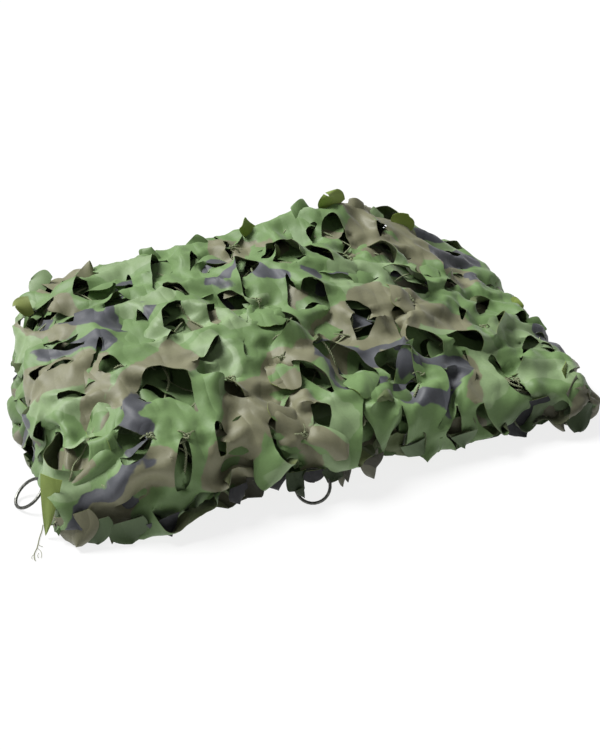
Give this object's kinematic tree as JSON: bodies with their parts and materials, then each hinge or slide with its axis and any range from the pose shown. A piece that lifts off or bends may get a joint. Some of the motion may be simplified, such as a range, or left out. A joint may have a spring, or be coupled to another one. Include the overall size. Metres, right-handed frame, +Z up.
{
  "type": "camouflage net",
  "caption": "Leaf-cut camouflage net folded back and forth into a low flat heap, with round wire edge rings.",
  "frame": {"origin": "middle of the footprint's box, on the ground under the heap", "axes": "+X along the long side of the heap, from the high end to the low end; +Z up; the front, with the ring, is towards -Y"},
  "size_m": [0.6482, 0.4396, 0.1648],
  "materials": {
    "net_cloth": "coated polyester cloth with a soft satin sheen, printed in mid green, pale green, brown and dark grey-violet blobs",
    "ring_steel": "dark drawn steel wire",
    "mesh_cord": "thin twisted khaki cord, frayed at its end"
  },
  "bodies": {
    "root": {"net": "net_cloth", "ring_front": "ring_steel", "ring_left": "ring_steel", "thread_tail": "mesh_cord"}
  },
  "joints": []
}
